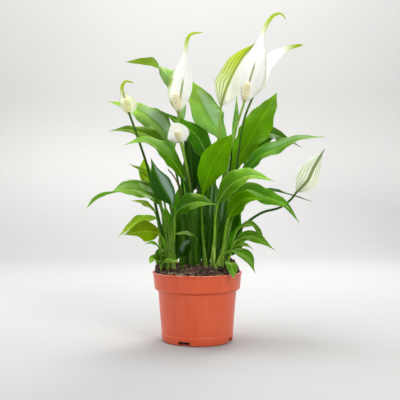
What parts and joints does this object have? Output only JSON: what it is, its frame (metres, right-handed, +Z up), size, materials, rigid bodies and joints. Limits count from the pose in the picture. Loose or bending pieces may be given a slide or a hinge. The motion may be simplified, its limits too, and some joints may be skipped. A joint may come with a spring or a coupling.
{
  "type": "potted peace lily",
  "caption": "Peace lily with arching lance-shaped leaves and white hooded flowers on tall stalks, growing in soil in a round tapered plastic nursery pot.",
  "frame": {"origin": "centre of the pot's foot, on the surface that it stands on", "axes": "+Z up along the pot's axis, -Y to the side that the picture shows as the front, +X to the right of that front"},
  "size_m": [0.307, 0.203, 0.4316],
  "materials": {
    "pot_plastic": "satin terracotta-coloured moulded plastic",
    "peat": "damp crumbly dark peat",
    "leaf_light": "satin leaf, bright yellow-green",
    "leaf_mid": "satin leaf, fresh green",
    "leaf_dark": "glossy leaf, deep green",
    "stalk_light": "smooth pale green stalk",
    "stalk_dark": "smooth dark green stalk",
    "spathe_white": "soft satin white with a green midrib and tip",
    "spathe_green": "soft satin pale green with darker stripes",
    "spadix_cream": "matte cream with florets in relief",
    "dried_stalk": "dry brown"
  },
  "bodies": {
    "root": {"pot": "pot_plastic", "soil": "peat", "leaf_left_arch": "leaf_light", "leaf_left_back": "leaf_light", "leaf_front_centre": "leaf_light", "leaf_tall_right": "leaf_light", "leaf_front_arch": "leaf_light", "leaf_right_inner": "leaf_light", "leaf_top_left": "leaf_mid", "leaf_upper_left": "leaf_mid", "leaf_left_narrow": "leaf_mid", "leaf_left_short": "leaf_mid", "leaf_far_left": "leaf_mid", "leaf_left_narrow_low": "leaf_mid", "leaf_low_left": "leaf_mid", "leaf_low_left_broad": "leaf_mid", "leaf_top_centre": "leaf_mid", "leaf_centre_arch": "leaf_mid", "leaf_front_level": "leaf_mid", "leaf_front_small": "leaf_mid", "leaf_long_right": "leaf_mid", "leaf_right_rim": "leaf_mid", "leaf_back_left": "leaf_mid", "leaf_back_centre": "leaf_mid", "leaf_back_right": "leaf_mid", "young_leaves_left": "leaf_mid", "young_leaves_right": "leaf_mid", "leaf_mid_left": "leaf_dark", "leaf_left_front": "leaf_dark", "leaf_upright": "leaf_dark", "leaf_inner_left": "leaf_dark", "leaf_front_low": "leaf_dark", "leaf_behind_right": "leaf_dark", "leaf_right_level": "leaf_dark", "leaf_right_droop": "leaf_dark", "low_leaves_back": "leaf_dark", "low_leaves_left": "leaf_dark", "low_leaves_right": "leaf_dark", "stalk_tall_front": "stalk_light", "spathe_tall_front": "spathe_white", "spadix_tall_front": "spadix_cream", "stalk_behind_right": "stalk_dark", "spathe_behind_right": "spathe_white", "spadix_behind_right": "spadix_cream", "stalk_tall_left": "stalk_light", "spathe_tall_left": "spathe_white", "spadix_tall_left": "spadix_cream", "stalk_far_left": "stalk_dark", "spathe_far_left": "spathe_green", "spadix_far_left": "spadix_cream", "stalk_round_centre": "stalk_light", "spathe_round_centre": "spathe_white", "spadix_round_centre": "spadix_cream", "stalk_right_edge": "stalk_dark", "spathe_right_edge": "spathe_green", "spadix_right_edge": "spadix_cream", "stalk_upper_centre": "stalk_light", "spathe_upper_centre": "spathe_green", "spadix_upper_centre": "spadix_cream", "stalk_dried": "dried_stalk"}
  },
  "joints": []
}
